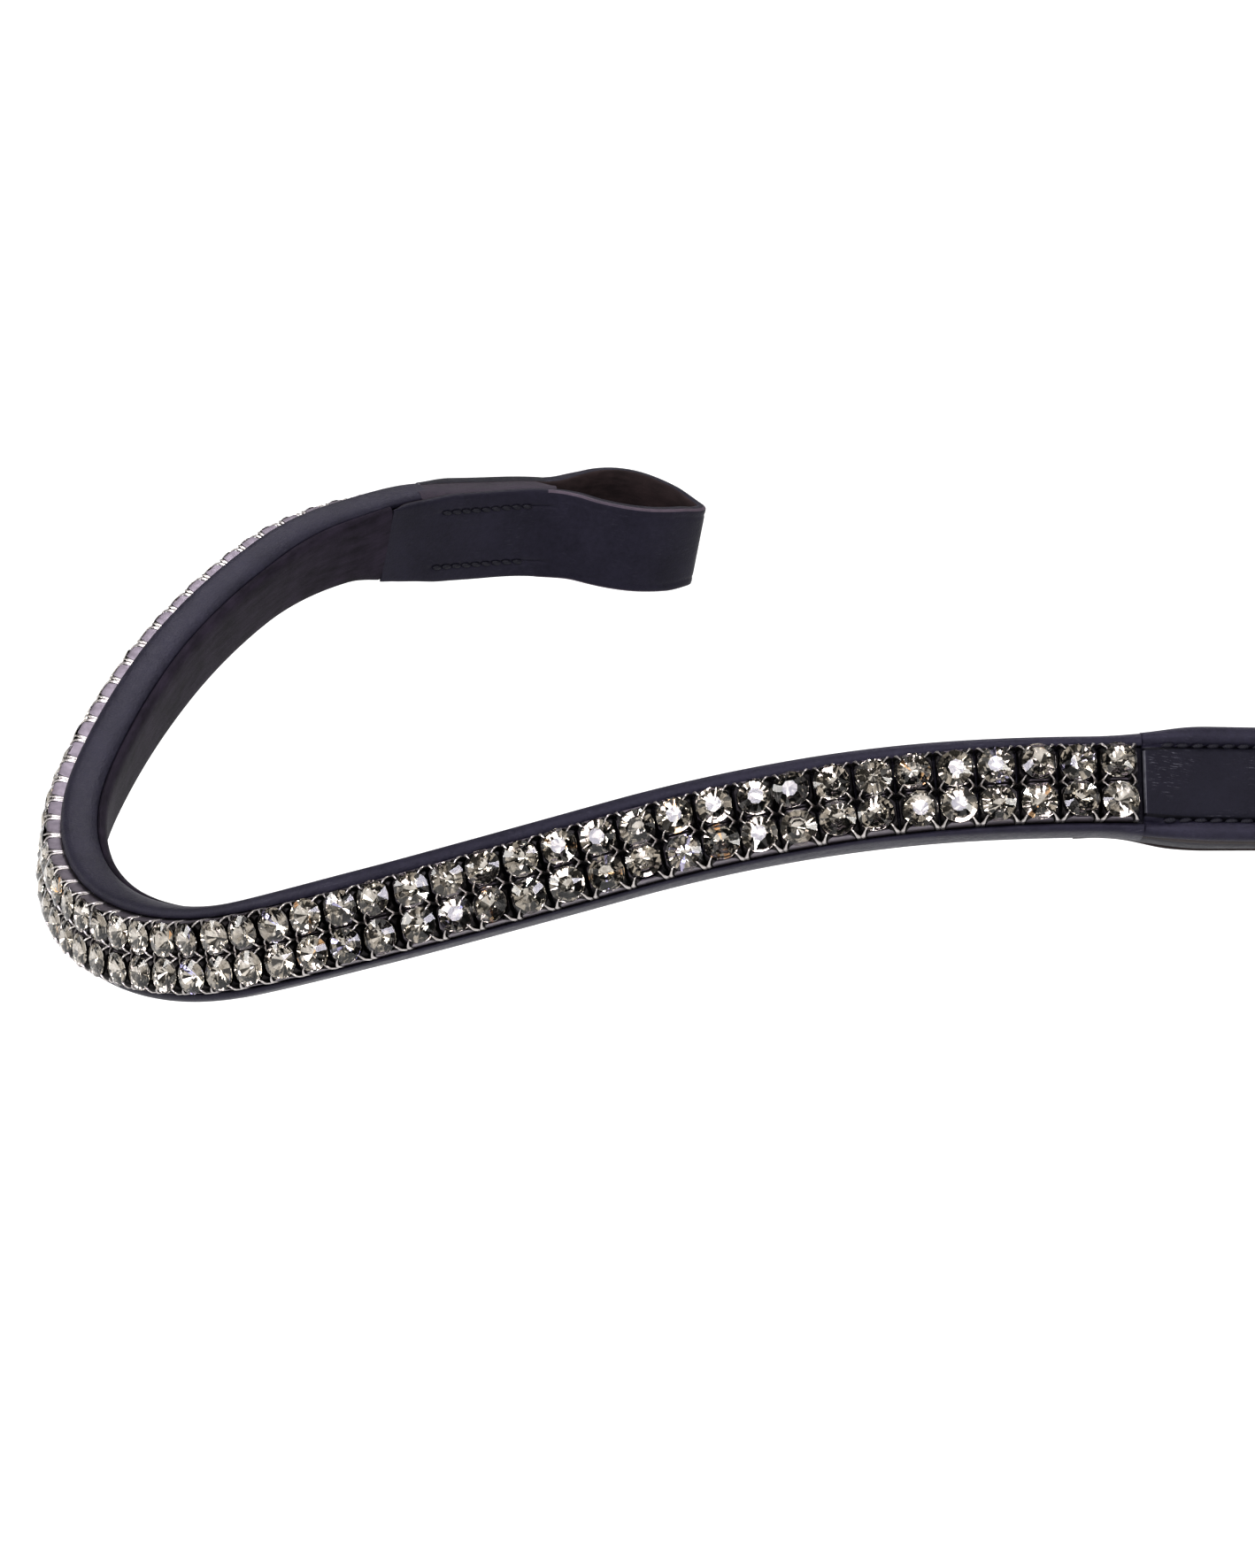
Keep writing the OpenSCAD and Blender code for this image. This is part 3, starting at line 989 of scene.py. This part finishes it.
def stone_mesh(culet_place):
    """A round cut: table and 24 facets on the crown, 16 long mains meeting at the culet."""
    table = ring_points(8, TABLE_R, TABLE_N)
    girdle_top = ring_points(16, STONE_R, CROWN_N)
    girdle_bottom = ring_points(16, STONE_R, GIRDLE_LOW)
    verts = table + girdle_top + girdle_bottom + [culet_place]
    t, g, b, culet = 0, 8, 24, 40
    crown = [tuple(range(8))]
    pavilion = []
    for k in range(8):
        middle = g + 2 * k
        after = g + 2 * k + 1
        before = g + (2 * k - 1) % 16
        crown.append((t + k, before, middle))
        crown.append((t + k, middle, after))
        crown.append((t + k, after, t + (k + 1) % 8))
    for k in range(16):
        nxt = (k + 1) % 16
        crown.append((g + k, b + k, b + nxt, g + nxt))
        pavilion.append((culet, b + nxt, b + k))
    return verts, crown, pavilion


def make_stones(label, row, v, rng):
    side = SIDES[label]
    parts = []
    for i in range(HALF_COLUMNS):
        tilt = (math.radians(rng.gauss(0, 3.2)), math.radians(rng.gauss(0, 3.2)))
        spin = rng.uniform(0, math.pi / 4)
        culet = (rng.gauss(0, 0.22), rng.gauss(0, 0.22), rng.uniform(0.85, 1.3))
        verts, crown, pavilion = stone_mesh(culet)
        place = placed(verts, side * (i + 0.5), v, STONE_SEAT, spin, tilt)
        slots = [0] * len(crown)
        # A few pavilion facets get the orange or blue foil as painted fire.
        for _ in pavilion:
            slots.append(rng.choices((1, 2, 3), (0.975, 0.013, 0.012))[0])
        parts.append((place, crown + pavilion, slots))
    materials = [CRYSTAL, FOIL, FIRE_ORANGE, FIRE_BLUE]
    obj = outward(collect(row + "_crystal_row_" + label, parts, materials, False))
    across_brow(obj)
    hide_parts(row + "_stones_centre", row + "_stones_" + label)


# --- Floor, light and camera -------------------------------------------------------------------

FLOOR_DROP = 0.038    # metres below the band, which clears both legs' ends at every pose
FLOOR_HALF = 6.0      # metres from its middle to each side


def make_floor():
    level = cad_box[0].z - FLOOR_DROP
    corners = [(x * FLOOR_HALF, y * FLOOR_HALF, level) for x, y in ((-1, -1), (1, -1), (1, 1), (-1, 1))]
    floor = bpy.data.objects.new("floor", bpy.data.meshes.new("floor"))
    floor.data.from_pydata(corners, [], [(0, 1, 2, 3)])
    bpy.context.scene.collection.objects.link(floor)
    m = Nodes("pale_floor")
    m.finish(
        Base_Color=rgb(0.2, 0.2, 0.2),
        Roughness=1.0,
        Specular_IOR_Level=0.0,
        Emission_Color=rgb(1.0, 1.0, 1.0),
        Emission_Strength=1.0,
    )
    floor.data.materials.append(m.material)


def make_softbox(name, azimuth, elevation, distance, width, height, power, colour=(1, 1, 1)):
    """An area light round the band's middle; azimuth is measured from +X towards +Y."""
    centre = Vector((0.02, 0.06, 0.0))
    a, e = math.radians(azimuth), math.radians(elevation)
    way = Vector((math.cos(a) * math.cos(e), math.sin(a) * math.cos(e), math.sin(e)))
    light = bpy.data.lights.new(name, "AREA")
    light.shape = "RECTANGLE"
    light.size = width
    light.size_y = height
    light.energy = power
    light.color = colour
    obj = bpy.data.objects.new(name, light)
    obj.location = centre + way * distance
    obj.rotation_mode = "QUATERNION"
    obj.rotation_quaternion = (-way).to_track_quat("-Z", "Y")
    bpy.context.scene.collection.objects.link(obj)


def make_world():
    """A dim studio with soft bright patches, which the crystals' facets pick out one by one."""
    world = bpy.data.worlds.new("studio")
    world.use_nodes = True
    tree = world.node_tree
    background = tree.nodes["Background"]
    place = tree.nodes.new("ShaderNodeTexCoord")
    noise = tree.nodes.new("ShaderNodeTexNoise")
    noise.inputs["Scale"].default_value = 5.5
    noise.inputs["Detail"].default_value = 2.0
    patches = tree.nodes.new("ShaderNodeMapRange")
    for i, value in ((1, 0.50), (2, 0.62), (3, 0.08), (4, 1.7)):
        patches.inputs[i].default_value = value
    tree.links.new(place.outputs["Generated"], noise.inputs["Vector"])
    tree.links.new(noise.outputs["Fac"], patches.inputs["Value"])
    tree.links.new(patches.outputs["Result"], background.inputs["Strength"])
    background.inputs["Color"].default_value = rgb(1.0, 0.98, 0.97)
    bpy.context.scene.world = world


def make_light():
    make_world()
    make_softbox("top_softbox", 120, 55, 1.1, 0.5, 0.5, 5.2, (0.95, 0.92, 1.0))
    make_softbox("front_softbox", -54, 43, 1.0, 0.24, 0.30, 3.4, (0.90, 0.87, 1.0))
    make_softbox("second_softbox", -22, 46, 1.0, 0.24, 0.30, 3.4, (0.90, 0.87, 1.0))
    make_softbox("left_softbox", -120, 30, 1.1, 0.3, 0.4, 4.5, (1.0, 0.98, 0.96))
    make_softbox("right_softbox", 10, 25, 1.1, 0.2, 0.4, 3.5, (1.0, 0.98, 0.94))
    sparks = ((-75, 65), (-10, 70), (-25, 8), (60, 40), (-95, 20), (-60, 8))
    for i, (azimuth, elevation) in enumerate(sparks):
        make_softbox("spark_%d" % i, azimuth, elevation, 1.2, 0.09, 0.09, 1.8, (1.0, 0.98, 0.93))


CAMERA_PLACE = (540.5, -281.0, 224.1)    # millimetres
CAMERA_FORWARD = (-0.7806, 0.5293, -0.3325)
CAMERA_RIGHT = (0.6017, 0.7804, -0.1701)
CAMERA_LENS = 101.64


def make_camera():
    forward = Vector(CAMERA_FORWARD).normalized()
    right = Vector(CAMERA_RIGHT)
    right = (right - forward * right.dot(forward)).normalized()
    up = right.cross(forward)
    camera = bpy.data.objects.new("camera", bpy.data.cameras.new("camera"))
    camera.data.lens = CAMERA_LENS
    camera.data.sensor_width = 36.0
    camera.data.clip_start = 0.01
    camera.data.clip_end = 50.0
    turn = Matrix((right, up, -forward)).transposed().to_4x4()
    camera.matrix_world = Matrix.Translation(Vector(CAMERA_PLACE) * MM) @ turn
    bpy.context.scene.collection.objects.link(camera)
    bpy.context.scene.camera = camera
    bpy.context.scene.view_settings.view_transform = "Standard"


make_camera()
make_floor()
make_light()
rng = random.Random(7)
for label in SIDES:
    make_strap(label)
    make_end(label)
    for row, sign in (("upper", 1), ("lower", -1)):
        make_cups(label, row, sign * ROW_V)
        make_stones(label, row, sign * ROW_V, rng)
        make_stitches(label, row, sign * GROOVE_V, rng)
